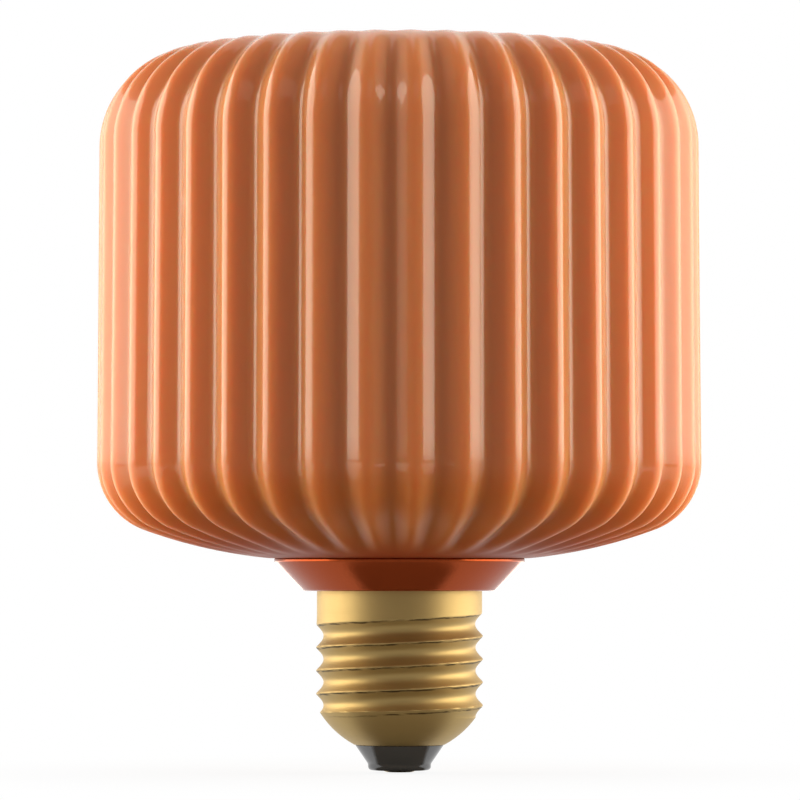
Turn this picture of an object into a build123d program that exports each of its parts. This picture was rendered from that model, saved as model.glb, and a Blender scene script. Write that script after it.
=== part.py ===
from build123d import *
import math
import os

# Screw-cap LED bulb with a fluted, drum-shaped globe. Lengths are in millimetres and angles in degrees.
# +Z runs along the axis from the cap to the globe. The origin is the middle of the contact's lower face.

# Stack of heights, from the contact upwards
contact_drop = 0.3
insulator_height = 4.0
shell_height = 24.1
collar_height = 5.1
globe_height = 79.8

# Globe
globe_diameter = 95.0
globe_top_diameter = 94.4
globe_seat_diameter = 39.8
globe_crown_diameter = 24.0
lower_shoulder_height = 15.0
lower_shoulder_radius = 11.2
lower_shoulder_turn = 70.0
upper_shoulder_radius = 15.4
crown_edge_radius = 8.0
crown_edge_turn = 14.0
neck_diameter = 28.6
neck_length = 2.6

# Flutes of the globe, which fade out on the crown and on the underside, each between two diameters
flute_count = 40
flute_depth = 1.6
crown_fade_inner = 63.0
crown_fade_outer = 88.0
underside_fade_inner = 46.0
underside_fade_outer = 84.0

# Collar
collar_top_diameter = 39.4
collar_foot_diameter = 30.2
collar_lip_height = 0.5
collar_edge_radius = 1.0
collar_bore_diameter = 21.0

# Screw shell of thin brass, with the round thread of a 27 mm lamp cap
thread_diameter = 26.2
thread_pitch = 3.629
thread_depth = 1.15
thread_crest_rounding = 0.12
thread_run_out_start = 5.0
thread_run_out_end = 85.0
skirt_diameter = 25.96
skirt_height = 3.4
shell_wall = 0.4
shell_foot_diameter = 14.2
taper_height = 6.1
taper_radius = 14.5

# Insulator
insulator_foot_diameter = 9.9
insulator_foot_height = 1.0
insulator_foot_radius = 0.6
insulator_rim_step = 0.1
insulator_head_overlap = 1.6
insulator_head_height = 2.6

# Contact, riveted through the insulator
contact_diameter = 5.6
contact_flat_diameter = 4.0
contact_rounding = 0.1
rivet_diameter = 2.0
rivet_head_diameter = 3.4
rivet_head_height = 0.5

# Clearance of a piece inside another, on the radius, and of the collar's spigot above the thread
fit_clearance = 0.08
spigot_clearance = 0.8

# Fineness of the lofted surfaces
points_per_flute = 4
points_per_turn = 32
rings_per_pitch = 12
crown_steps = 2
crown_edge_steps = 2
upper_shoulder_steps = 11
side_steps = 1
lower_shoulder_steps = 9
underside_steps = 7

# Heights of the seats between the pieces
insulator_base = contact_drop
shell_base = insulator_base + insulator_height
collar_base = shell_base + shell_height
globe_base = collar_base + collar_height
globe_top = globe_base + globe_height
insulator_top = shell_base + insulator_head_height
skirt_base = collar_base - skirt_height

os.makedirs("parts", exist_ok=True)


def smooth_step(share):
    """Rise from 0 to 1 with level ends as share goes from 0 to 1."""
    share = min(max(share, 0.0), 1.0)
    return share * share * (3.0 - 2.0 * share)


def closed_ring(points, span):
    """A ring of splines that meet smoothly, each over span points at even steps, so that rings loft together."""
    count = len(points)
    steps = [float(step) for step in range(span + 1)]
    edges = []
    for start in range(0, count, span):
        stretch = [points[(start + step) % count] for step in range(span + 1)]
        ends = [start, (start + span) % count]
        ways = [(points[(end + 1) % count] - points[end - 1]) / 2 for end in ends]
        edges.append(Edge.make_spline(stretch, ways, parameters=steps, scale=False))
    return Wire(edges)


# Globe: its outline runs down from the flat crown, round its edge and both shoulders, to the seat on the collar.
edge_lean = Vector(0, 1).rotate(Axis.Z, -crown_edge_turn)
upper_centre = Vector(
    globe_top_diameter / 2 - upper_shoulder_radius,
    globe_top - crown_edge_radius - (upper_shoulder_radius - crown_edge_radius) * edge_lean.Y,
)
crown_edge_centre = upper_centre + edge_lean * (upper_shoulder_radius - crown_edge_radius)

with BuildLine(Plane.XZ):
    crown_edge = CenterArc(
        (crown_edge_centre.X, crown_edge_centre.Y), crown_edge_radius, 90, -crown_edge_turn
    )
    upper_shoulder = CenterArc(
        (upper_centre.X, upper_centre.Y), upper_shoulder_radius, 90 - crown_edge_turn, crown_edge_turn - 90
    )
    lower_shoulder = CenterArc(
        (globe_diameter / 2 - lower_shoulder_radius, globe_base + lower_shoulder_height),
        lower_shoulder_radius,
        0,
        -lower_shoulder_turn,
    )
    crown = Line((globe_crown_diameter / 2, globe_top), crown_edge @ 0)
    side = Line(upper_shoulder @ 1, lower_shoulder @ 0)
    underside = TangentArc(
        lower_shoulder @ 1, (globe_seat_diameter / 2, globe_base), tangent=lower_shoulder % 1
    )


def flute_ring(edge, position, fade_inner, fade_outer):
    """The fluted ring through one point of the globe's outline, sunk at right angles to the outline."""
    point = edge @ position
    inward = Vector(0, 1, 0).cross(edge % position)
    depth = flute_depth * smooth_step((2.0 * point.X - fade_inner) / (fade_outer - fade_inner))
    count = flute_count * points_per_flute
    points = []
    for index in range(count):
        valley = (1.0 - math.cos(2.0 * math.pi * index / points_per_flute)) / 2.0
        points.append((point + inward * depth * valley).rotate(Axis.Z, 360.0 * index / count))
    return closed_ring(points, points_per_flute)


def flute_rings(edge, count, fade_inner, fade_outer):
    """Rings at even steps along one edge of the outline, without the one at its end."""
    return [flute_ring(edge, step / count, fade_inner, fade_outer) for step in range(count)]


globe_rings = flute_rings(crown, crown_steps, crown_fade_inner, crown_fade_outer)
globe_rings += flute_rings(crown_edge, crown_edge_steps, crown_fade_inner, crown_fade_outer)
globe_rings += flute_rings(upper_shoulder, upper_shoulder_steps, crown_fade_inner, crown_fade_outer)
globe_rings += flute_rings(side, side_steps, underside_fade_inner, underside_fade_outer)
globe_rings += flute_rings(lower_shoulder, lower_shoulder_steps, underside_fade_inner, underside_fade_outer)
globe_rings += flute_rings(underside, underside_steps, underside_fade_inner, underside_fade_outer)
globe_rings.append(flute_ring(underside, 1.0, underside_fade_inner, underside_fade_outer))

with BuildPart() as globe:
    add(Solid.make_loft(globe_rings, ruled=True))
    with BuildSketch(Plane.XY.offset(globe_base)):
        Circle(neck_diameter / 2)
    extrude(amount=-neck_length)

globe.part.label = "globe"
export_step(globe.part, "parts/globe.step")

# Collar: a turned section with a socket for the globe's neck and a spigot for the shell.
spigot_radius = skirt_diameter / 2 - shell_wall - fit_clearance
spigot_base = skirt_base + spigot_clearance
socket_radius = neck_diameter / 2 + fit_clearance
socket_base = globe_base - neck_length - fit_clearance

with BuildPart() as collar:
    with BuildSketch(Plane.XZ):
        with BuildLine():
            Polyline(
                (collar_bore_diameter / 2, spigot_base),
                (spigot_radius, spigot_base),
                (spigot_radius, collar_base),
                (collar_foot_diameter / 2, collar_base),
                (collar_top_diameter / 2, globe_base - collar_lip_height),
                (collar_top_diameter / 2, globe_base),
                (socket_radius, globe_base),
                (socket_radius, socket_base),
                (collar_bore_diameter / 2, socket_base),
                close=True,
            )
        make_face()
    revolve(axis=Axis.Z)
    foot_edge = collar.edges().filter_by(GeomType.CIRCLE).group_by(Axis.Z)[1].sort_by(SortBy.RADIUS)[-1]
    fillet(foot_edge, collar_edge_radius)

collar.part.label = "collar"
export_step(collar.part, "parts/collar.step")

# Screw shell: the taper below the thread is an arc in section, and the wall keeps its thickness along it.
foot_radius = shell_foot_diameter / 2
thread_radius = thread_diameter / 2
taper_chord = Vector(thread_radius - foot_radius, taper_height)
taper_inset = math.sqrt(taper_radius**2 - (taper_chord.length / 2) ** 2)
taper_middle = Vector(foot_radius, shell_base) + taper_chord / 2
taper_top = shell_base + taper_height
taper_centre = taper_middle + taper_chord.normalized().rotate(Axis.Z, 90) * taper_inset


def taper_at(height, wall):
    """Radius of the taper at a height, on the outside or a wall's thickness inside it."""
    return taper_centre.X + math.sqrt((taper_radius - wall) ** 2 - (height - taper_centre.Y) ** 2)


def shell_radius(height, angle, wall):
    """Radius of the shell at a height and an angle about the axis, less the wall for the inside."""
    turns = (height - skirt_base) / thread_pitch - angle / 360.0
    groove = math.floor(turns)
    groove_angle = angle + 360.0 * (groove + 1)
    run_out = (thread_run_out_end - groove_angle) / (thread_run_out_end - thread_run_out_start)
    wave = math.hypot(math.sin(math.pi * turns), thread_crest_rounding)
    valley = (wave - thread_crest_rounding) / (math.hypot(1.0, thread_crest_rounding) - thread_crest_rounding)
    crest_share = smooth_step((skirt_base - height) / thread_pitch)
    crest = skirt_diameter / 2 + (thread_radius - skirt_diameter / 2) * crest_share
    radius = crest - thread_depth * valley * smooth_step(run_out) - wall
    if height < taper_top:
        return min(radius, taper_at(height, wall))
    return radius


def shell_ring(height, wall):
    """The ring round the shell at one height."""
    points = []
    for index in range(points_per_turn):
        angle = 360.0 * index / points_per_turn
        radius = shell_radius(height, angle, wall)
        points.append(Vector(radius, 0, height).rotate(Axis.Z, angle))
    return closed_ring(points, points_per_turn // 2)


shell_steps = math.ceil(shell_height * rings_per_pitch / thread_pitch)
shell_levels = [shell_base + shell_height * step / shell_steps for step in range(shell_steps + 1)]
outer_rings = [shell_ring(level, 0.0) for level in shell_levels]
inner_rings = [shell_ring(level, shell_wall) for level in shell_levels]
shell_faces = Shell.make_loft(outer_rings, ruled=True).faces()
shell_faces += Shell.make_loft(inner_rings, ruled=True).faces()
shell_faces.append(Face(outer_rings[0], [inner_rings[0]]))
shell_faces.append(Face(outer_rings[-1], [inner_rings[-1]]))

with BuildPart() as screw_shell:
    add(Solid(Shell(shell_faces)))

screw_shell.part.label = "screw_shell"
export_step(screw_shell.part, "parts/screw_shell.step")

# Insulator: the shell's foot lies between the visible cone and the head inside the shell.
rivet_hole_radius = rivet_diameter / 2 + fit_clearance
insulator_neck_radius = taper_at(shell_base, shell_wall) - fit_clearance
insulator_head_radius = insulator_neck_radius + insulator_head_overlap
insulator_cone_radius = foot_radius - insulator_rim_step


def head_underside(radius):
    """The point of the insulator's head, at a radius, that clears the inside of the taper."""
    reach = taper_radius - shell_wall - fit_clearance
    return radius, taper_centre.Y - math.sqrt(reach**2 - (radius - taper_centre.X) ** 2)


with BuildPart() as insulator:
    with BuildSketch(Plane.XZ) as insulator_section:
        with BuildLine():
            Polyline(
                head_underside(insulator_neck_radius),
                (insulator_neck_radius, shell_base),
                (insulator_cone_radius, shell_base),
                (insulator_foot_diameter / 2, insulator_base + insulator_foot_height),
                (insulator_foot_diameter / 2, insulator_base),
                (rivet_hole_radius, insulator_base),
                (rivet_hole_radius, insulator_top),
                (insulator_head_radius, insulator_top),
                head_underside(insulator_head_radius),
            )
            ThreePointArc(
                head_underside(insulator_head_radius),
                head_underside(insulator_head_radius - insulator_head_overlap / 2),
                head_underside(insulator_neck_radius),
            )
        make_face()
        foot_corner = insulator_section.vertices().group_by(Axis.Z)[0].sort_by(Axis.X)[-1]
        fillet(foot_corner, insulator_foot_radius)
    revolve(axis=Axis.Z)

insulator.part.label = "insulator"
export_step(insulator.part, "parts/insulator.step")

# Contact: a low dome under the insulator, with a rivet that is spread above it.
dome_middle = ((contact_flat_diameter + contact_diameter) / 4, contact_rounding)

with BuildPart() as contact:
    with BuildSketch(Plane.XZ):
        with BuildLine():
            Polyline(
                (contact_diameter / 2, insulator_base),
                (rivet_diameter / 2, insulator_base),
                (rivet_diameter / 2, insulator_top),
                (rivet_head_diameter / 2, insulator_top),
                (rivet_head_diameter / 2, insulator_top + rivet_head_height),
                (0, insulator_top + rivet_head_height),
                (0, 0),
                (contact_flat_diameter / 2, 0),
            )
            ThreePointArc((contact_flat_diameter / 2, 0), dome_middle, (contact_diameter / 2, insulator_base))
        make_face()
    revolve(axis=Axis.Z)

contact.part.label = "contact"
export_step(contact.part, "parts/contact.step")
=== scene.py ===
# %% [markdown]
# # A fluted drum bulb in a small studio
# The imported solids say where each piece of the bulb is and how large it is, in metres. The bulb stands on
# its contact at the origin, and +Z runs up its axis. The dressed bulb has to fill the same box at the end.

# %% Load the solids
import math

import bmesh
import bpy
import numpy as np
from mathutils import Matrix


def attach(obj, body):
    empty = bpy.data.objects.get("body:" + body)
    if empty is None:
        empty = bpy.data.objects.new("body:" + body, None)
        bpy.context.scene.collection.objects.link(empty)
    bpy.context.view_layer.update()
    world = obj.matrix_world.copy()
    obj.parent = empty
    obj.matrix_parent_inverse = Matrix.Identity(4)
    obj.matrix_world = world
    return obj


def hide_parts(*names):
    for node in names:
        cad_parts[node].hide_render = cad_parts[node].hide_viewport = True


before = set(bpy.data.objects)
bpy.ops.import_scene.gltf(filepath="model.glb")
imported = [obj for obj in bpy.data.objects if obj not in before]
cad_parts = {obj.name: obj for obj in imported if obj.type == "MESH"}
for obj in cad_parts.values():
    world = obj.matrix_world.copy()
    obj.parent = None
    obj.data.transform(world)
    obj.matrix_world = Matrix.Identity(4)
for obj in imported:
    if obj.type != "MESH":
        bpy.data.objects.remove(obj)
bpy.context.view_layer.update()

# %% [markdown]
# Every piece of a bulb is made of rings round one axis: blown, turned, drawn or rolled. So one helper can
# make them all. It takes rings of points in millimetres and joins each ring to the next with
# four-cornered faces. A lathe-like Screw modifier could turn the plain pieces, but not the flutes or the
# thread, and one way for all is easier to follow.

# %% Rings into a piece
MM = 0.001
CREASE = math.radians(38)


def ringed_piece(node, rings, closed=False):
    """Join rings of points, an array of (rings, points, xyz), into the piece that stands for a solid."""
    count, around = rings.shape[:2]
    corners = np.arange(count * around).reshape(count, around)
    here = corners if closed else corners[:-1]
    there = np.roll(corners, -1, axis=0) if closed else corners[1:]
    quads = np.stack([here, np.roll(here, -1, axis=1), np.roll(there, -1, axis=1), there], axis=-1)
    faces = quads.reshape(-1, 4).tolist()
    if not closed:
        faces += [corners[0].tolist(), corners[-1].tolist()]
    mesh = bpy.data.meshes.new(node + "_skin")
    mesh.from_pydata((rings.reshape(-1, 3) * MM).tolist(), [], faces)
    shaper = bmesh.new()
    shaper.from_mesh(mesh)
    bmesh.ops.recalc_face_normals(shaper, faces=shaper.faces)
    shaper.to_mesh(mesh)
    shaper.free()
    mesh.polygons.foreach_set("use_smooth", [True] * len(mesh.polygons))
    mesh.set_sharp_from_angle(angle=CREASE)
    piece = bpy.data.objects.new(node + "_dressed", mesh)
    bpy.context.scene.collection.objects.link(piece)
    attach(piece, "root")
    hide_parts(node)
    print(node, "has", 2 * len(quads.reshape(-1, 4)), "triangles")
    return piece


def smooth_step(share):
    """Rise from 0 to 1 with level ends as share goes from 0 to 1."""
    share = np.clip(share, 0.0, 1.0)
    return share * share * (3.0 - 2.0 * share)


def turned_rings(section, around):
    """Turn a section of (radius, height) points round the axis."""
    angles = np.linspace(0.0, 2.0 * math.pi, around, endpoint=False)
    section = np.asarray(section, float)
    radius, height = section[:, :1], section[:, 1:]
    return np.stack([radius * np.cos(angles), radius * np.sin(angles), height + 0.0 * angles], axis=-1)


def arc(centre, radius, start, end, count):
    """Points of an arc in a section, from one angle in degrees to another."""
    turn = np.radians(np.linspace(start, end, count))
    return np.column_stack([centre[0] + radius * np.cos(turn), centre[1] + radius * np.sin(turn)])


# %% [markdown]
# The globe is one blown body. Its outline runs from the flat crown over a full upper shoulder, down the
# side, round a tighter lower shoulder and along the underside to the seat on the collar. The solid is
# made of broad strips; here the same outline is followed more closely, so that highlights run along it
# without a break.

# %% Outline of the globe
GLOBE_TOP = 113.3
GLOBE_BASE = 33.5
TOP_RADIUS = 47.2
UPPER_RADIUS = 15.4
CROWN_EDGE_RADIUS = 8.0
CROWN_EDGE_TURN = 14.0
LOWER_SHOULDER = (36.3, 48.5)
LOWER_RADIUS = 11.2
LOWER_TURN = 70.0
SEAT_RADIUS = 19.9
HUB_RADIUS = 2.0
ARC_POINTS = 400
CROWN_EDGE_POINTS = 60
STRETCH_POINTS = {"crown": 9, "crown_edge": 5, "upper": 40, "side": 9, "lower": 28, "under": 34}


def even_steps(points, count):
    """Place points at even distances along a chain of points."""
    length = np.concatenate([[0.0], np.cumsum(np.hypot(*np.diff(points, axis=0).T))])
    marks = np.linspace(0.0, length[-1], count)
    return np.column_stack([np.interp(marks, length, points[:, axis]) for axis in (0, 1)])


def globe_outline():
    """The outline from the crown to the seat: arcs and straight stretches that meet without a kink."""
    lean = math.radians(CROWN_EDGE_TURN)
    step = (UPPER_RADIUS - CROWN_EDGE_RADIUS) * np.array([math.sin(lean), math.cos(lean)])
    upper_centre = np.array([TOP_RADIUS - UPPER_RADIUS, GLOBE_TOP - CROWN_EDGE_RADIUS - step[1]])
    crown_edge = arc(upper_centre + step, CROWN_EDGE_RADIUS, 90.0, 90.0 - CROWN_EDGE_TURN, CROWN_EDGE_POINTS)
    upper = arc(upper_centre, UPPER_RADIUS, 90.0 - CROWN_EDGE_TURN, 0.0, ARC_POINTS)
    lower = arc(LOWER_SHOULDER, LOWER_RADIUS, 0.0, -LOWER_TURN, ARC_POINTS)
    heading = math.radians(-LOWER_TURN)
    chord = np.array([SEAT_RADIUS, GLOBE_BASE]) - lower[-1]
    outward = np.array([math.cos(heading), math.sin(heading)])
    bend = (chord @ chord) / (-2.0 * chord @ outward)
    centre = lower[-1] - bend * outward
    seat = np.array([SEAT_RADIUS, GLOBE_BASE]) - centre
    seat_turn = math.degrees(math.atan2(seat[1], seat[0]))
    under = arc(centre, bend, -LOWER_TURN, seat_turn, ARC_POINTS)
    crown = np.array([[HUB_RADIUS, GLOBE_TOP], crown_edge[0]])
    side = np.array([upper[-1], lower[0]])
    chains = {
        "crown": crown, "crown_edge": crown_edge, "upper": upper, "side": side, "lower": lower, "under": under
    }
    stretches = [even_steps(chain, STRETCH_POINTS[name])[:-1] for name, chain in chains.items()]
    return np.concatenate(stretches + [under[-1:]])


outline = globe_outline()
print("globe outline:", len(outline), "points")

# %% [markdown]
# Forty flutes run down the globe, pressed by the mould into the soft glass: nearly flat flanks that meet
# in round ribs and in tighter grooves. Each groove is sunk at right angles to the outline, and it rises
# to nothing on the crown and towards the collar. A real mould is never quite even, so each rib also
# differs from the next by a few hundredths of a millimetre.

# %% Flutes
FLUTES = 40
FLUTE_DEPTH = 1.65
RIB_ROUNDING = 0.36
GROOVE_ROUNDING = 0.26
HALF_FLUTE = (0.0, 0.09, 0.18, 0.27, 0.36, 0.55, 0.74, 0.87)
CROWN_FADE = (31.5, 44.0)
UNDERSIDE_FADE = (23.0, 42.0)
UNEVENNESS = 0.035
UNEVEN_WAVES = ((3.0, 0.031, 0.0), (7.0, -0.057, 1.3))
NECK = (14.3, 2.6)
SEAT_ROUNDING = 0.35


def groove_shape(share):
    """Depth of a groove, 0 to 1, at a share of the way from the rib to the middle of the groove."""
    rib = share**2 / (2.0 * RIB_ROUNDING)
    flank = share - RIB_ROUNDING / 2.0
    full = 1.0 - RIB_ROUNDING / 2.0 - GROOVE_ROUNDING / 2.0
    groove = full - (1.0 - share) ** 2 / (2.0 * GROOVE_ROUNDING)
    shape = np.where(share < RIB_ROUNDING, rib, np.where(share > 1.0 - GROOVE_ROUNDING, groove, flank))
    return shape / full


def fluted_rings(outline, fade, normals):
    """Sink the grooves into rings through the outline's points."""
    half = np.array(HALF_FLUTE)
    shares = np.concatenate([half, [1.0], half[:0:-1]])
    places = np.concatenate([half, [1.0], 2.0 - half[:0:-1]]) / 2.0
    angles = 2.0 * math.pi * (np.arange(FLUTES)[:, None] + places).ravel() / FLUTES
    groove = np.tile(groove_shape(shares), FLUTES)
    depth = FLUTE_DEPTH * fade
    height = outline[:, 1:]
    drift = sum(np.sin(waves * angles + twist * height + phase) for waves, twist, phase in UNEVEN_WAVES)
    sink = depth[:, None] * groove + UNEVENNESS * fade[:, None] * drift
    radius = outline[:, :1] - sink * normals[:, :1]
    level = outline[:, 1:] - sink * normals[:, 1:]
    return np.stack([radius * np.cos(angles), radius * np.sin(angles), level], axis=-1)


along = np.gradient(outline, axis=0)
along /= np.hypot(along[:, 0], along[:, 1])[:, None]
outward = np.column_stack([-along[:, 1], along[:, 0]])
upper_half = outline[:, 1] > (GLOBE_TOP + GLOBE_BASE) / 2
fade_from = np.where(upper_half, CROWN_FADE[0], UNDERSIDE_FADE[0])
fade_to = np.where(upper_half, CROWN_FADE[1], UNDERSIDE_FADE[1])
flute_fade = smooth_step((outline[:, 0] - fade_from) / (fade_to - fade_from))
body_rings = fluted_rings(outline, flute_fade, outward)
seat_edge = arc((SEAT_RADIUS - SEAT_ROUNDING, GLOBE_BASE + SEAT_ROUNDING), SEAT_ROUNDING, -45, -90, 4)
neck = np.array([[NECK[0], GLOBE_BASE], [NECK[0], GLOBE_BASE - NECK[1]], [HUB_RADIUS, GLOBE_BASE - NECK[1]]])
neck_rings = turned_rings(np.concatenate([seat_edge, neck]), body_rings.shape[1])
globe = ringed_piece("globe", np.concatenate([body_rings[:-1], neck_rings]))

# %% [markdown]
# The collar is a moulded plastic ring with a straight cone outside, a thin lip at the top and a round
# lower edge. It is turned from its section, which also has the socket for the globe's neck and the spigot
# that goes into the screw shell.

# %% Collar
COLLAR_BASE = 28.4
COLLAR_TOP_RADIUS = 19.7
COLLAR_FOOT_RADIUS = 15.1
COLLAR_LIP = 0.5
COLLAR_ROUNDING = 1.0
LIP_ROUNDING = 0.18
BORE_RADIUS = 10.5
SPIGOT = (12.5, 25.8)
SOCKET = (14.38, 30.82)
COLLAR_AROUND = 224


def rounded(points, corner, before, after, radius, count):
    """Points that round off one corner of a section, between the two points beside it."""
    corner, before, after = (np.asarray(point, float) for point in (corner, before, after))
    first = (before - corner) / np.linalg.norm(before - corner)
    second = (after - corner) / np.linalg.norm(after - corner)
    half = math.acos(np.clip(first @ second, -1.0, 1.0)) / 2.0
    middle = (first + second) / np.linalg.norm(first + second)
    centre = corner + middle * radius / math.sin(half)
    start = corner + first * radius / math.tan(half) - centre
    end = corner + second * radius / math.tan(half) - centre
    turn = math.atan2(start[0] * end[1] - start[1] * end[0], start @ end)
    for step in np.linspace(0.0, turn, count):
        spin = np.array([[math.cos(step), -math.sin(step)], [math.sin(step), math.cos(step)]])
        points.append(centre + spin @ start)


lip_foot = (COLLAR_TOP_RADIUS, GLOBE_BASE - COLLAR_LIP)
lip_top = (COLLAR_TOP_RADIUS, GLOBE_BASE)
foot = (COLLAR_FOOT_RADIUS, COLLAR_BASE)
collar_section = [(BORE_RADIUS, SPIGOT[1]), SPIGOT, (SPIGOT[0], COLLAR_BASE)]
rounded(collar_section, foot, (SPIGOT[0], COLLAR_BASE), lip_foot, COLLAR_ROUNDING, 9)
rounded(collar_section, lip_foot, foot, lip_top, LIP_ROUNDING, 4)
rounded(collar_section, lip_top, lip_foot, (SOCKET[0], GLOBE_BASE), LIP_ROUNDING, 5)
collar_section += [(SOCKET[0], GLOBE_BASE), SOCKET, (BORE_RADIUS, SOCKET[1])]
collar = ringed_piece("collar", turned_rings(collar_section, COLLAR_AROUND), closed=True)

# %% [markdown]
# The screw shell is drawn from thin brass sheet, and its thread is rolled in: a round groove that winds
# down from the plain skirt, with narrow crests, and runs out into the taper at the foot. A Screw modifier
# makes an even spring of a thread, but not the start below the skirt or the run-out, so the radius is
# worked out for each height and angle, as in the solid.

# %% Screw shell
SHELL_BASE = 4.3
SKIRT_BASE = 25.0
SKIRT_RADIUS = 12.98
THREAD_RADIUS = 13.1
THREAD_PITCH = 3.629
THREAD_DEPTH = 1.15
CREST_ROUNDING = 0.12
RUN_OUT = (5.0, 85.0)
SHELL_WALL = 0.4
SHELL_FOOT_RADIUS = 7.1
TAPER_HEIGHT = 6.1
TAPER_RADIUS = 14.5
SHELL_AROUND = 256
SHELL_OUTER_RINGS = 220
SHELL_INNER_RINGS = 90

taper_chord = np.array([THREAD_RADIUS - SHELL_FOOT_RADIUS, TAPER_HEIGHT])
taper_length = np.linalg.norm(taper_chord)
taper_inset = math.sqrt(TAPER_RADIUS**2 - (taper_length / 2) ** 2)
taper_side = np.array([-taper_chord[1], taper_chord[0]]) / taper_length
taper_centre = np.array([SHELL_FOOT_RADIUS, SHELL_BASE]) + taper_chord / 2 + taper_side * taper_inset


def shell_radius(height, angle, wall):
    """Radius of the shell at heights and angles, less the wall for the inside."""
    turns = (height - SKIRT_BASE) / THREAD_PITCH - angle / 360.0
    groove_angle = angle + 360.0 * (np.floor(turns) + 1.0)
    run_out = smooth_step((RUN_OUT[1] - groove_angle) / (RUN_OUT[1] - RUN_OUT[0]))
    wave = np.hypot(np.sin(math.pi * turns), CREST_ROUNDING)
    valley = (wave - CREST_ROUNDING) / (math.hypot(1.0, CREST_ROUNDING) - CREST_ROUNDING)
    crest_share = smooth_step((SKIRT_BASE - height) / THREAD_PITCH)
    crest = SKIRT_RADIUS + (THREAD_RADIUS - SKIRT_RADIUS) * crest_share
    radius = crest - THREAD_DEPTH * valley * run_out - wall
    reach = np.maximum((TAPER_RADIUS - wall) ** 2 - (height - taper_centre[1]) ** 2, 0.0)
    taper = taper_centre[0] + np.sqrt(reach)
    return np.where(height < SHELL_BASE + TAPER_HEIGHT, np.minimum(radius, taper), radius)


def shell_rings(heights, wall):
    """Rings round the shell at given heights."""
    degrees = np.linspace(0.0, 360.0, SHELL_AROUND, endpoint=False)
    height, angle = np.meshgrid(heights, degrees, indexing="ij")
    radius = shell_radius(height, angle, wall)
    turn = np.radians(angle)
    return np.stack([radius * np.cos(turn), radius * np.sin(turn), height], axis=-1)


outside = shell_rings(np.linspace(SHELL_BASE, COLLAR_BASE, SHELL_OUTER_RINGS), 0.0)
inside = shell_rings(np.linspace(COLLAR_BASE, SHELL_BASE, SHELL_INNER_RINGS), SHELL_WALL)
screw_shell = ringed_piece("screw_shell", np.concatenate([outside, inside]), closed=True)

# %% [markdown]
# Black glass is poured into the foot of the shell and pressed to a cone. It holds the centre contact, a
# brass disc with a rivet through the glass. Both are turned, with the small roundings that catch the
# light.

# %% Insulator and contact
INSULATOR_BASE = 0.3
INSULATOR_TOP = 6.9
INSULATOR_FOOT = (4.95, 1.0)
INSULATOR_ROUNDING = 0.6
CONE_RADIUS = 7.0
NECK_RADIUS = 6.13
HEAD_RADIUS = 7.73
RIVET_HOLE_RADIUS = 1.08
RIVET_RADIUS = 1.0
RIVET_HEAD = (1.7, 0.5)
CONTACT_RADIUS = 2.8
CONTACT_FLAT_RADIUS = 2.0
CONTACT_ROUNDING = 1.2
AXIS_GAP = 0.05
HEAD_CLEARANCE = 0.08
CONE_EDGE_ROUNDING = 0.1
FOOT_EDGE_ROUNDING = 0.7
INSULATOR_AROUND = 160
CONTACT_AROUND = 96


def head_underside(radius):
    """The point of the insulator's head that clears the inside of the taper."""
    reach = TAPER_RADIUS - SHELL_WALL - HEAD_CLEARANCE
    return radius, taper_centre[1] - math.sqrt(reach**2 - (radius - taper_centre[0]) ** 2)


foot_top = (INSULATOR_FOOT[0], INSULATOR_BASE + INSULATOR_FOOT[1])
foot_corner = (INSULATOR_FOOT[0], INSULATOR_BASE)
cone_top = (CONE_RADIUS, SHELL_BASE)
insulator_section = [head_underside(radius) for radius in np.linspace(HEAD_RADIUS, NECK_RADIUS, 6)]
insulator_section += [(NECK_RADIUS, SHELL_BASE)]
rounded(insulator_section, cone_top, (NECK_RADIUS, SHELL_BASE), foot_top, CONE_EDGE_ROUNDING, 4)
rounded(insulator_section, foot_top, cone_top, foot_corner, FOOT_EDGE_ROUNDING, 6)
rounded(insulator_section, foot_corner, foot_top, (0.0, INSULATOR_BASE), INSULATOR_ROUNDING, 8)
insulator_section += [(RIVET_HOLE_RADIUS, INSULATOR_BASE), (RIVET_HOLE_RADIUS, INSULATOR_TOP)]
insulator_section += [(HEAD_RADIUS, INSULATOR_TOP)]
insulator_rings = turned_rings(insulator_section, INSULATOR_AROUND)
insulator = ringed_piece("insulator", insulator_rings, closed=True)

contact_section = [(AXIS_GAP, 0.0)]
contact_edge = (CONTACT_RADIUS, INSULATOR_BASE)
rounded(contact_section, (CONTACT_FLAT_RADIUS, 0.0), (0.0, 0.0), contact_edge, CONTACT_ROUNDING, 6)
contact_section += [contact_edge, (RIVET_RADIUS, INSULATOR_BASE)]
contact_section += [(RIVET_RADIUS, INSULATOR_TOP), (RIVET_HEAD[0], INSULATOR_TOP)]
contact_section += [(RIVET_HEAD[0], INSULATOR_TOP + RIVET_HEAD[1]), (AXIS_GAP, INSULATOR_TOP + RIVET_HEAD[1])]
contact = ringed_piece("contact", turned_rings(contact_section, CONTACT_AROUND))

# %% [markdown]
# Finishes are node trees. Written as boxes and lines they are long, so a small class holds one socket and
# turns sums of sockets into Math nodes. Its `node` method adds any other node: settings first, then
# sockets.

# %% Sockets that do sums


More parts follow.
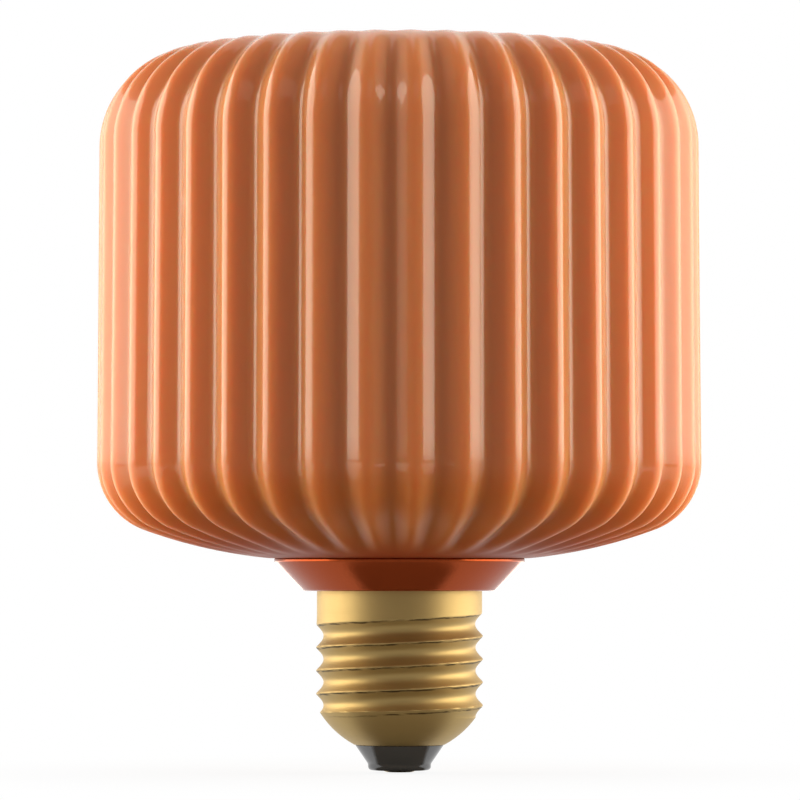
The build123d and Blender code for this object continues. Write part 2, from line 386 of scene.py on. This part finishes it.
class Wire:
    """One socket of a node tree. Sums of wires add Math nodes."""

    def __init__(self, tree, socket=None):
        self.tree = tree
        self.socket = socket

    def node(self, kind, settings, sockets, output=0):
        """Add a node with its settings and its sockets' values or links, and give one of its outputs."""
        made = self.tree.nodes.new(kind)
        for name, value in settings.items():
            setattr(made, name, value)
        for name, value in sockets.items():
            if isinstance(value, Wire):
                self.tree.links.new(value.socket, made.inputs[name])
            else:
                made.inputs[name].default_value = value
        return Wire(self.tree, made.outputs[output]) if len(made.outputs) else None

    def maths(self, operation, *values):
        """Add a Math node on wires and numbers."""
        return self.node("ShaderNodeMath", {"operation": operation}, dict(enumerate(values)))

    def __add__(self, other):
        return self.maths("ADD", self, other)

    def __sub__(self, other):
        return self.maths("SUBTRACT", self, other)

    def __rsub__(self, other):
        return self.maths("SUBTRACT", other, self)

    def __mul__(self, other):
        return self.maths("MULTIPLY", self, other)

    def __pow__(self, other):
        return self.maths("POWER", self, other)

    __radd__ = __add__
    __rmul__ = __mul__


def blank_tree(owner):
    """An empty node tree of a material, world or lamp, as a wire to build on."""
    owner.use_nodes = True
    owner.node_tree.nodes.clear()
    return Wire(owner.node_tree)


def blend(sheet, share, first, second):
    """Mix two colours by a share."""
    return sheet.node("ShaderNodeMix", {"data_type": "RGBA"}, {0: share, 6: first, 7: second}, 2)


def noise(sheet, place, scale, detail, roughness):
    """A cloudy value between 0 and 1."""
    values = {"Vector": place, "Scale": scale, "Detail": detail, "Roughness": roughness}
    return sheet.node("ShaderNodeTexNoise", {}, values)


def rise(sheet, value, start, end):
    """Go smoothly from 0 to 1 as a value goes from start to end."""
    smooth = {"interpolation_type": "SMOOTHSTEP"}
    return sheet.node("ShaderNodeMapRange", smooth, {0: value, 1: start, 2: end})


def compass(sheet, place):
    """The three parts of a place or a heading, as wires."""
    outputs = sheet.node("ShaderNodeSeparateXYZ", {}, {"Vector": place}).socket.node.outputs
    return [Wire(sheet.tree, outputs[axis]) for axis in "XYZ"]


def coat_piece(piece, name, finish):
    """Give a piece a material that one of the finish functions fills."""
    material = bpy.data.materials.new(name)
    sheet = blank_tree(material)
    place = sheet.node("ShaderNodeTexCoord", {}, {}, "Object")
    surface = finish(sheet, place)
    sheet.node("ShaderNodeOutputMaterial", {}, {"Surface": surface})
    piece.data.materials.clear()
    piece.data.materials.append(material)
    print(name, "uses", len(material.node_tree.nodes), "nodes")


# %% [markdown]
# The globe's glass is milky and coloured all through: it can't be seen through, but light goes a few
# millimetres into it and comes out again. A plain diffuse colour would leave the grooves hard and dark.
# Subsurface scattering lets red travel furthest, so the flanks glow softly. Over it lie a weak broad
# sheen and a sharp clear coat, the surface that the flame leaves. The coat ends at the lower shoulder,
# where the glass was held. The colour is painted darker and redder towards the neck, as painted shade
# under the globe, and a little darker in the grooves, as painted shade in the recesses.
# Very fine ripples keep the long reflections from being ruler-straight.

# %% Terracotta glass
TERRACOTTA = (0.63, 0.203, 0.054, 1.0)
TERRACOTTA_PALE = (0.66, 0.222, 0.061, 1.0)
GROOVE_SHADE = (0.61, 0.191, 0.050, 1.0)
NECK_SHADE_COLOUR = (0.38, 0.052, 0.015, 1.0)
NECK_SHADE_HEIGHTS = (0.0325, 0.0390)
POLISH_HEIGHTS = (0.042, 0.052)
GROOVE_SHADE_SHARE = 0.4
GROOVE_SHADE_SHARPNESS = 1.5
CLOUD_SCALE = 24.0
RIPPLE_SCALE = 60.0
GRAIN_SCALE = 900.0
GRAIN_SHARE = 0.06
SCATTER_DEPTH = 0.006


def terracotta_glass(sheet, place):
    """Milky coloured glass with a clear surface."""
    across, along, up = compass(sheet, place)
    angle = sheet.maths("ARCTAN2", along, across)
    off_axis = (across * across + along * along) ** 0.5
    fluted = rise(sheet, off_axis, CROWN_FADE[0] * MM, CROWN_FADE[1] * MM)
    # Painted shade: the grooves are painted a little darker than the ribs.
    groove = fluted * (0.5 - 0.5 * sheet.maths("COSINE", angle * FLUTES)) ** GROOVE_SHADE_SHARPNESS
    clouds = noise(sheet, place, CLOUD_SCALE, 3.0, 0.5)
    drift = blend(sheet, clouds, TERRACOTTA, TERRACOTTA_PALE)
    body = blend(sheet, groove * GROOVE_SHADE_SHARE, drift, GROOVE_SHADE)
    # Painted shade: the colour darkens and reddens towards the neck, under the globe.
    colour = blend(sheet, rise(sheet, up, *NECK_SHADE_HEIGHTS), NECK_SHADE_COLOUR, body)
    ripple = noise(sheet, place, RIPPLE_SCALE, 2.0, 0.4)
    grain = noise(sheet, place, GRAIN_SCALE, 2.0, 0.5)
    relief = ripple + GRAIN_SHARE * grain
    bump = sheet.node("ShaderNodeBump", {}, {"Height": relief, "Strength": 0.05, "Distance": 0.002})
    polish = rise(sheet, up, *POLISH_HEIGHTS)
    return sheet.node(
        "ShaderNodeBsdfPrincipled",
        {},
        {
            "Base Color": colour,
            "Roughness": 0.40 + 0.1 * clouds,
            "IOR": 1.5,
            "Specular IOR Level": 0.13,
            "Subsurface Weight": 1.0,
            "Subsurface Radius": (1.0, 0.5, 0.3),
            "Subsurface Scale": SCATTER_DEPTH,
            "Coat Weight": polish,
            "Coat Roughness": 0.06,
            "Coat IOR": 1.5,
            "Normal": bump,
        },
    )


coat_piece(globe, "terracotta_glass", terracotta_glass)

# %% [markdown]
# The collar is moulded in plastic and lacquered in a deeper, redder shade of the same colour. Its
# reflections are coloured and have hard edges: bright at the sides, dark in the middle. A plain gloss
# over a diffuse colour gives white reflections, so most of this finish is metallic, as in a lacquer with
# fine metal flakes.

# %% Collar plastic
COLLAR_COLOUR = (0.37, 0.066, 0.016, 1.0)
COLLAR_SHADE = (0.33, 0.057, 0.013, 1.0)


def collar_plastic(sheet, place):
    """Moulded plastic under a metal-flake lacquer."""
    clouds = noise(sheet, place, 90.0, 3.0, 0.55)
    grain = noise(sheet, place, 1800.0, 2.0, 0.5)
    bump = sheet.node("ShaderNodeBump", {}, {"Height": grain, "Strength": 0.04, "Distance": 0.0004})
    return sheet.node(
        "ShaderNodeBsdfPrincipled",
        {},
        {
            "Base Color": blend(sheet, clouds, COLLAR_COLOUR, COLLAR_SHADE),
            "Metallic": 0.75,
            "Roughness": 0.14 + 0.05 * grain,
            "IOR": 1.45,
            "Specular IOR Level": 0.1,
            "Normal": bump,
        },
    )


coat_piece(collar, "collar_plastic", collar_plastic)

# %% [markdown]
# Rolled brass is satin: the rolls leave fine lines round the shell, so the roughness and the relief are
# streaked along the thread. The colour is darkened in thin broken lines along the crests of the thread.
# The line could be a strip of mesh, but it has no thickness, so it is found from the same sum that winds
# the thread: a whole number of turns is a crest. A little of the brass is dull, not mirror-like, because
# it is worn and handled.

# %% Brass
BRASS = (0.47, 0.337, 0.134, 1.0)
BRASS_DULL = (0.42, 0.294, 0.115, 1.0)
CREST_DARK = (0.030, 0.020, 0.009, 1.0)
CREST_DARK_START = (0.0085, 0.0095)
CREST_DARK_END = (0.0243, 0.0250)
CREST_DARK_WIDTH = (0.012, 0.055)
CREST_DARK_WAVER = 0.12
CREST_DARK_BREAKS = (0.36, 0.58)
CREST_DARK_SHARE = 0.9


def dark_crest_lines(sheet, place, streaks):
    """Thin broken dark lines along the crests of the thread."""
    across, along, up = compass(sheet, place)
    angle = sheet.maths("ARCTAN2", along, across)
    waver = CREST_DARK_WAVER * noise(sheet, place, 330.0, 2.0, 0.5)
    turns = (up - SKIRT_BASE * MM) * (1.0 / (THREAD_PITCH * MM)) - angle * (0.5 / math.pi) + waver
    off_crest = sheet.maths("ABSOLUTE", sheet.maths("FRACT", turns + 0.5) - 0.5)
    line = 1.0 - rise(sheet, off_crest, *CREST_DARK_WIDTH)
    threaded = rise(sheet, up, *CREST_DARK_START) * (1.0 - rise(sheet, up, *CREST_DARK_END))
    return line * threaded * rise(sheet, streaks, *CREST_DARK_BREAKS)



def rolled_brass(sheet, place):
    """Drawn and rolled brass with streaks round the axis."""
    stretched = sheet.node("ShaderNodeMapping", {}, {"Vector": place, "Scale": (1.0, 1.0, 9.0)})
    streaks = noise(sheet, stretched, 420.0, 4.0, 0.6)
    clouds = noise(sheet, place, 160.0, 4.0, 0.6)
    plain = blend(sheet, 0.7 * clouds, BRASS, BRASS_DULL)
    # The colour is darkened in thin broken lines along the crests of the thread.
    crest_lines = dark_crest_lines(sheet, place, streaks)
    bump = sheet.node("ShaderNodeBump", {}, {"Height": streaks, "Strength": 0.05, "Distance": 0.0003})
    return sheet.node(
        "ShaderNodeBsdfPrincipled",
        {},
        {
            "Base Color": blend(sheet, CREST_DARK_SHARE * crest_lines, plain, CREST_DARK),
            "Metallic": 0.88,
            "Roughness": 0.43 + 0.06 * streaks + 0.06 * clouds,
            "Normal": bump,
        },
    )


coat_piece(screw_shell, "rolled_brass", rolled_brass)
coat_piece(contact, "contact_brass", rolled_brass)

# %% [markdown]
# The insulator is black glass: nearly no colour of its own, so all that shows is what it reflects. A
# pressed surface has long shallow ripples and a few pits.

# %% Black glass
BLACK_GLASS = (0.011, 0.011, 0.013, 1.0)
BLACK_GLASS_DUSTY = (0.022, 0.022, 0.024, 1.0)


def black_glass(sheet, place):
    """Pressed black glass."""
    clouds = noise(sheet, place, 260.0, 3.0, 0.5)
    bump = sheet.node("ShaderNodeBump", {}, {"Height": clouds, "Strength": 0.12, "Distance": 0.0006})
    return sheet.node(
        "ShaderNodeBsdfPrincipled",
        {},
        {
            "Base Color": blend(sheet, clouds, BLACK_GLASS, BLACK_GLASS_DUSTY),
            "Roughness": 0.06 + 0.06 * clouds,
            "IOR": 2.0,
            "Normal": bump,
        },
    )


coat_piece(insulator, "black_glass", black_glass)

# %% [markdown]
# The bulb stands on a plain floor in a white studio. The floor is a real surface, so it keeps the bulb's
# shadow. What the lens sees of it is lifted to white with the Light Path node, a little less close to the
# bulb, where the shadow is. Brass, lacquer and glass see it white as well, at the sides and round the
# foot. In front, towards the lens, they see it darker, which gives the collar its dark middle and the
# brass its depth. More light could make a white floor too, but it would bleach the bulb.

# %% Floor
bpy.ops.mesh.primitive_plane_add(size=6.0, location=(0.0, 0.0, -0.0001))
floor = bpy.context.object
floor.name = "studio_floor"
FLOOR_PALE = (0.82, 0.87, 0.94, 1.0)
FLOOR_GREY = (0.31, 0.30, 0.285, 1.0)
WHITE = (1.0, 1.0, 1.0, 1.0)
LENS_LIFT = 0.88
SHADOW_REACH = (0.015, 0.10)
RING_START = (0.0105, 0.0135)
RING_END = (0.034, 0.050)
RING_CLOSES = (0.026, 0.030)
RING_SIDES = (math.radians(56), math.radians(70))
FLOOR_SIDES = (math.radians(56), math.radians(72))
FRONT_LIFT = 0.3
FRONT_REACH = (0.05, 0.14)


def highest(sheet, *values):
    """The highest of some wires."""
    top = values[0]
    for value in values[1:]:
        top = sheet.maths("MAXIMUM", top, value)
    return top


def from_lens(sheet, across, along):
    """The angle round the axis from the lens, 0 in front and half a turn behind."""
    return sheet.maths("ARCTAN2", sheet.maths("ABSOLUTE", across), -1.0 * along)


def ray_kinds(sheet):
    """1 or 0 for rays straight from the lens, and 1 or 0 for rays off a mirror or through glass."""
    outputs = sheet.node("ShaderNodeLightPath", {}, {}).socket.node.outputs
    names = ("Is Camera Ray", "Is Glossy Ray", "Is Transmission Ray")
    camera, glossy, through = (Wire(sheet.tree, outputs[name]) for name in names)
    return camera, highest(sheet, glossy, through)


paint = bpy.data.materials.new("pale_floor")
sheet = blank_tree(paint)
spot = sheet.node("ShaderNodeNewGeometry", {}, {}, "Position")
reach = sheet.node("ShaderNodeVectorMath", {"operation": "LENGTH"}, {0: spot}, "Value")
across, along, _ = compass(sheet, spot)
bearing = from_lens(sheet, across, along)
camera_ray, mirror_ray = ray_kinds(sheet)
ring = rise(sheet, reach, *RING_START) * (1.0 - rise(sheet, reach, *RING_END))
ring = ring * highest(sheet, rise(sheet, bearing, *RING_SIDES), rise(sheet, reach, *RING_CLOSES))
at_sides = rise(sheet, bearing, *FLOOR_SIDES)
in_front = FRONT_LIFT * rise(sheet, reach, *FRONT_REACH)
lens_lift = camera_ray * (LENS_LIFT + (1.0 - LENS_LIFT) * rise(sheet, reach, *SHADOW_REACH))
mirror_lift = mirror_ray * highest(sheet, ring, at_sides, in_front)
pale = sheet.node("ShaderNodeBsdfDiffuse", {}, {"Color": FLOOR_PALE})
grey = sheet.node("ShaderNodeBsdfDiffuse", {}, {"Color": FLOOR_GREY})
matt = sheet.node("ShaderNodeMixShader", {}, {0: camera_ray, 1: grey, 2: pale})
glow = sheet.node("ShaderNodeEmission", {}, {"Color": WHITE, "Strength": 1.0})
lift = highest(sheet, lens_lift, mirror_lift)
sheet.node("ShaderNodeOutputMaterial", {}, {
    "Surface": sheet.node("ShaderNodeMixShader", {}, {0: lift, 1: matt, 2: glow}),
})
floor.data.materials.append(paint)
print("floor at", floor.location.z, "m")

# %% [markdown]
# Two tall softboxes stand at the sides, down to the floor, and the room towards the lens stays dim, so
# the middle of the globe is darker than its sides and each rib carries narrow upright highlights. Two
# panels lie on the floor and light the underside. A high lamp in front fills the middle from above, where
# no upright wall mirrors it. The world is the room: pale walls at the sides, a dim front, and plain white
# behind for the lens and for mirror-like surfaces.

# %% Light
ROOM_GREY = (0.35, 0.34, 0.325, 1.0)
WALL_WHITE = (1.8, 1.69, 1.48, 1.0)
LAMP_COLOUR = (1.0, 0.93, 0.80)
WALL_SIDES = (math.radians(54), math.radians(80))
WALL_BACK = (math.radians(120), math.radians(150))
WALL_BACK_LOSS = 0.5
WALL_TOP = (0.40, 0.85)
WHITE_BEHIND = (math.radians(150), math.radians(170))


def softbox(name, bearing, distance, width, height, level, glow, lying=False):
    """A soft lamp that faces the bulb, or lies on the floor. Bearing 0 is at the lens and 90 at the right."""
    lamp = bpy.data.lights.new(name, "AREA")
    lamp.shape = "RECTANGLE"
    lamp.size = width
    lamp.size_y = height
    lamp.energy = glow * math.pi * width * height
    lamp.color = LAMP_COLOUR
    box = bpy.data.objects.new(name, lamp)
    turn = math.radians(bearing)
    box.location = (distance * math.sin(turn), -distance * math.cos(turn), level)
    box.rotation_euler = (math.pi / 2, 0.0, turn)
    if lying:
        box.rotation_euler = (math.pi, 0.0, turn)
    box.visible_camera = False
    bpy.context.scene.collection.objects.link(box)
    print(name, "at bearing", bearing, "with", round(lamp.energy, 2), "W")


softbox("left_softbox", -101.0, 0.70, 0.875, 0.655, 0.33, 2.55)
softbox("right_softbox", 89.0, 0.70, 0.875, 0.655, 0.33, 2.85)
softbox("left_floor_panel", -111.0, 0.41, 0.60, 0.63, 0.001, 2.2, lying=True)
softbox("right_floor_panel", 111.0, 0.41, 0.60, 0.63, 0.001, 2.2, lying=True)
softbox("front_fill", 12.0, 0.90, 0.80, 0.60, 0.95, 0.5)

world = bpy.data.worlds.new("studio")
bpy.context.scene.world = world
sheet = blank_tree(world)
room = sheet.node("ShaderNodeBackground", {}, {"Color": ROOM_GREY, "Strength": 1.0})
walls = sheet.node("ShaderNodeBackground", {}, {"Color": WALL_WHITE, "Strength": 1.0})
white = sheet.node("ShaderNodeBackground", {}, {"Color": WHITE, "Strength": 1.0})
camera_ray, mirror_ray = ray_kinds(sheet)
heading = sheet.node("ShaderNodeTexCoord", {}, {}, "Generated")
across, along, up = compass(sheet, heading)
bearing = from_lens(sheet, across, along)
wall_share = rise(sheet, bearing, *WALL_SIDES) * (1.0 - rise(sheet, up, *WALL_TOP))
wall_share = wall_share * (1.0 - WALL_BACK_LOSS * rise(sheet, bearing, *WALL_BACK))
lit_room = sheet.node("ShaderNodeMixShader", {}, {0: wall_share, 1: room, 2: walls})
behind = mirror_ray * rise(sheet, bearing, *WHITE_BEHIND)
seen_white = highest(sheet, camera_ray, behind)
sheet.node("ShaderNodeOutputWorld", {}, {
    "Surface": sheet.node("ShaderNodeMixShader", {}, {0: seen_white, 1: lit_room, 2: white}),
})

# %% [markdown]
# The photograph was taken with a long lens at about the height of the collar. A shift of the lens would
# bring the whole bulb into the square picture and keep its upright edges parallel, but it would also push
# the bulb out of every other view, so the lens is tilted up by two degrees. It stands a third of a flute
# off the axis, as a groove just left of the middle shows.

# %% Camera
PICTURE_WIDTH = 800.0
MM_PER_PIXEL = 0.1573
LENS_DISTANCE = 800.0
LENS_BEARING = -2.9
HORIZON_ROW = 580.0
CONTACT_ROW = 771.5
AXIS_COLUMN = 399.5

lens = bpy.data.cameras.new("lens")
lens.sensor_width = 36.0
lens.lens = LENS_DISTANCE / MM_PER_PIXEL / PICTURE_WIDTH * lens.sensor_width
tilt = math.atan((HORIZON_ROW - PICTURE_WIDTH / 2) * MM_PER_PIXEL / LENS_DISTANCE)
lens.shift_x = (PICTURE_WIDTH / 2 - AXIS_COLUMN) / PICTURE_WIDTH
camera = bpy.data.objects.new("camera", lens)
bearing = math.radians(LENS_BEARING)
camera.location = (
    LENS_DISTANCE * math.sin(bearing) * MM,
    -LENS_DISTANCE * math.cos(bearing) * MM,
    (CONTACT_ROW - HORIZON_ROW) * MM_PER_PIXEL * MM,
)
camera.rotation_euler = (math.pi / 2 + tilt, 0.0, bearing)
bpy.context.scene.collection.objects.link(camera)
bpy.context.scene.camera = camera
bpy.context.scene.view_settings.view_transform = "Standard"
print("lens", round(lens.lens, 1), "mm, tilted up", round(math.degrees(tilt), 2), "degrees")
